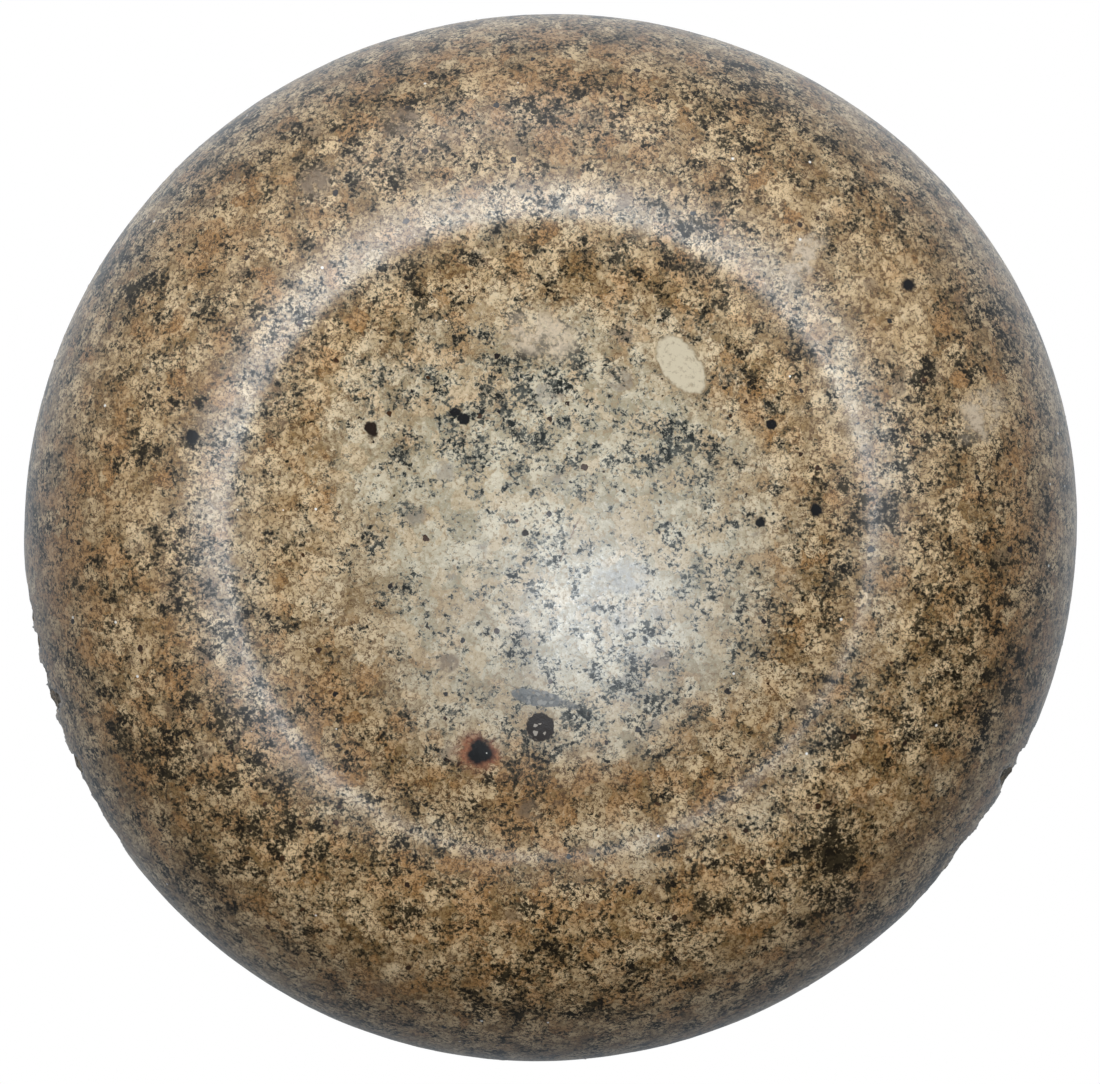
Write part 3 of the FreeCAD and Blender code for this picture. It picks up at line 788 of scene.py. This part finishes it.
def lead():
    """Poured lead: dull blue-grey skin, wrinkled where it cooled, with paler rubbed places."""
    n = new_material("lead")
    place = n.place_mm()
    skin = n.noise(n.warp(place, 5, 4), 5.5, 4, 0.6)
    colour = n.mix(skin, (0.115, 0.120, 0.130, 1), (0.32, 0.33, 0.345, 1))
    rubbed = n.span(n.noise(place, 2.0, 3), 0.55, 0.7, 0, 0.5)
    colour = n.mix(rubbed, colour, (0.42, 0.42, 0.41, 1))
    height = n.plus(n.times(skin, 0.35), n.noise(place, 1.1, 3), 0.08)
    rough = n.span(skin, 0.35, 0.65, 0.62, 0.44)
    return n.finish(Base_Color=colour, Metallic=0.6, Roughness=rough, Normal=n.bump(height))


# ---------------------------------------------------------------- the stage, metres
FLOOR_R = 6.0
FLOOR_SIDES = 96
FLOOR_BELOW_ICE = 0.0002
WHITE = (1.0, 1.0, 1.0, 1)
DISTANCE = 1.30              # camera to the middle of the stone
SENSOR = 36.0                # camera's sensor, millimetres wide
STONE_SHARE = 0.47455        # the stone's radius as a share of the picture's width
SHIFT = (0.0008, -0.0056)    # the lens is shifted by these shares of it
# Lamps, fixed to the camera: name, width, place from the camera, watts.
LAMPS = (
    ("key", 0.16, (-0.065, 0.126, 0.0), 8.2),
    ("top", 0.9, (-0.21, 1.21, -0.27), 8.0),
)
LAMP_COLOUR = (0.97, 0.985, 1.0)


def floor_material():
    """Plain pale floor, seen from above only, so that it doesn't hide the running face."""
    n = new_material("floor_pale")
    below = n.node("NewGeometry", {}).outputs["Backfacing"]
    pale = n.node("BsdfDiffuse", {"Color": (0.93, 0.885, 0.835, 1)}).outputs[0]
    clear = n.node("BsdfTransparent", {}).outputs[0]
    both = n.node("MixShader", {0: below, 1: pale, 2: clear}).outputs[0]
    n.node("OutputMaterial", {"Surface": both})
    return n.owner


def build_floor():
    """A large round floor just below the ice."""
    angles = [2 * math.pi * i / FLOOR_SIDES for i in range(FLOOR_SIDES)]
    rim = [Vector((math.cos(a), math.sin(a), 0)) * FLOOR_R for a in angles]
    mesh = bpy.data.meshes.new("floor")
    mesh.from_pydata(rim, [], [tuple(range(FLOOR_SIDES))])
    mesh.materials.append(floor_material())
    floor = bpy.data.objects.new("floor", mesh)
    floor.location.z = -FLOOR_BELOW_ICE
    bpy.context.scene.collection.objects.link(floor)
    floor.visible_glossy = floor.visible_diffuse = floor.visible_shadow = False


def build_world():
    """Soft studio surroundings: white to the camera; dim below the stone, brighter and bluer
    above it, and both brighter towards +Y."""
    world = bpy.data.worlds.new("studio")
    bpy.context.scene.world = world
    n = Nodes(world)
    way = n.node("TexCoord", {}).outputs["Generated"]
    parts = n.node("SeparateXYZ", {0: way}).outputs
    below = n.span(parts[1], -0.6, 0.8, 0.06, 0.36)
    above = n.span(parts[1], -0.90, 0.60, 0.34, 1.30)
    share = n.span(parts[2], -0.15, 0.45)
    level = n.node("Mix", {0: share, 2: below, 3: above}).outputs[0]
    tint = n.mix(share, (1.0, 0.97, 0.93, 1), (0.84, 0.92, 1.0, 1))
    soft = n.node("Background", {"Color": tint, "Strength": level}).outputs[0]
    white = n.node("Background", {"Color": WHITE, "Strength": 1.0}).outputs[0]
    seen = n.node("LightPath", {}).outputs["Is Camera Ray"]
    both = n.node("MixShader", {0: seen, 1: soft, 2: white}).outputs[0]
    n.node("OutputWorld", {"Surface": both})


def build_camera():
    """Square on to the running face from beneath, with +Y up in the picture."""
    data = bpy.data.cameras.new("camera")
    data.sensor_width = SENSOR
    data.lens = SENSOR * STONE_SHARE * DISTANCE / (MEAN_R * MM)
    data.clip_start, data.clip_end = 0.01, 50.0
    data.shift_x, data.shift_y = SHIFT
    camera = bpy.data.objects.new("camera", data)
    camera.location = (0, 0, HEIGHT / 2 * MM - DISTANCE)
    camera.rotation_euler = Euler((math.pi, 0, math.pi))
    bpy.context.scene.collection.objects.link(camera)
    bpy.context.scene.camera = camera
    return camera


def build_lamp(camera, name, width, place, watts):
    """A soft lamp aimed at the stone. It follows the camera."""
    data = bpy.data.lights.new(name, "AREA")
    data.shape = "DISK"
    data.size = width
    data.energy = watts
    data.color = LAMP_COLOUR
    lamp = bpy.data.objects.new(name, data)
    bpy.context.scene.collection.objects.link(lamp)
    lamp.parent = camera
    lamp.location = place
    aim = Vector((0, 0, -DISTANCE)) - Vector(place)
    lamp.rotation_euler = aim.to_track_quat("-Z", "Y").to_euler()


# ---------------------------------------------------------------- put it together
def paint(node, material):
    """Gives a CAD node its finished material."""
    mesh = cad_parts[node].data
    mesh.materials.clear()
    mesh.materials.append(material)


stone = build_granite()
stone.data.materials.append(Granite().build())
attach(stone, "stone")
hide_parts("granite_body")

paint("lead_plug", lead())
paint("handle_stud", iron("stud_iron"))
paint("grip_tang", iron("tang_iron"))
paint("seat_washer", leather())
paint("handle_neck", brass("cast_brass", 0.35, False))
turned_brass = brass("turned_brass", 0.55, True)
for name in ("front_ferrule", "rear_ferrule", "cap_nut"):
    paint(name, turned_brass)
paint("wooden_grip", grip_wood())

build_floor()
build_world()
view_camera = build_camera()
for name, width, place, watts in LAMPS:
    build_lamp(view_camera, name, width, place, watts)
bpy.context.scene.view_settings.view_transform = "Standard"
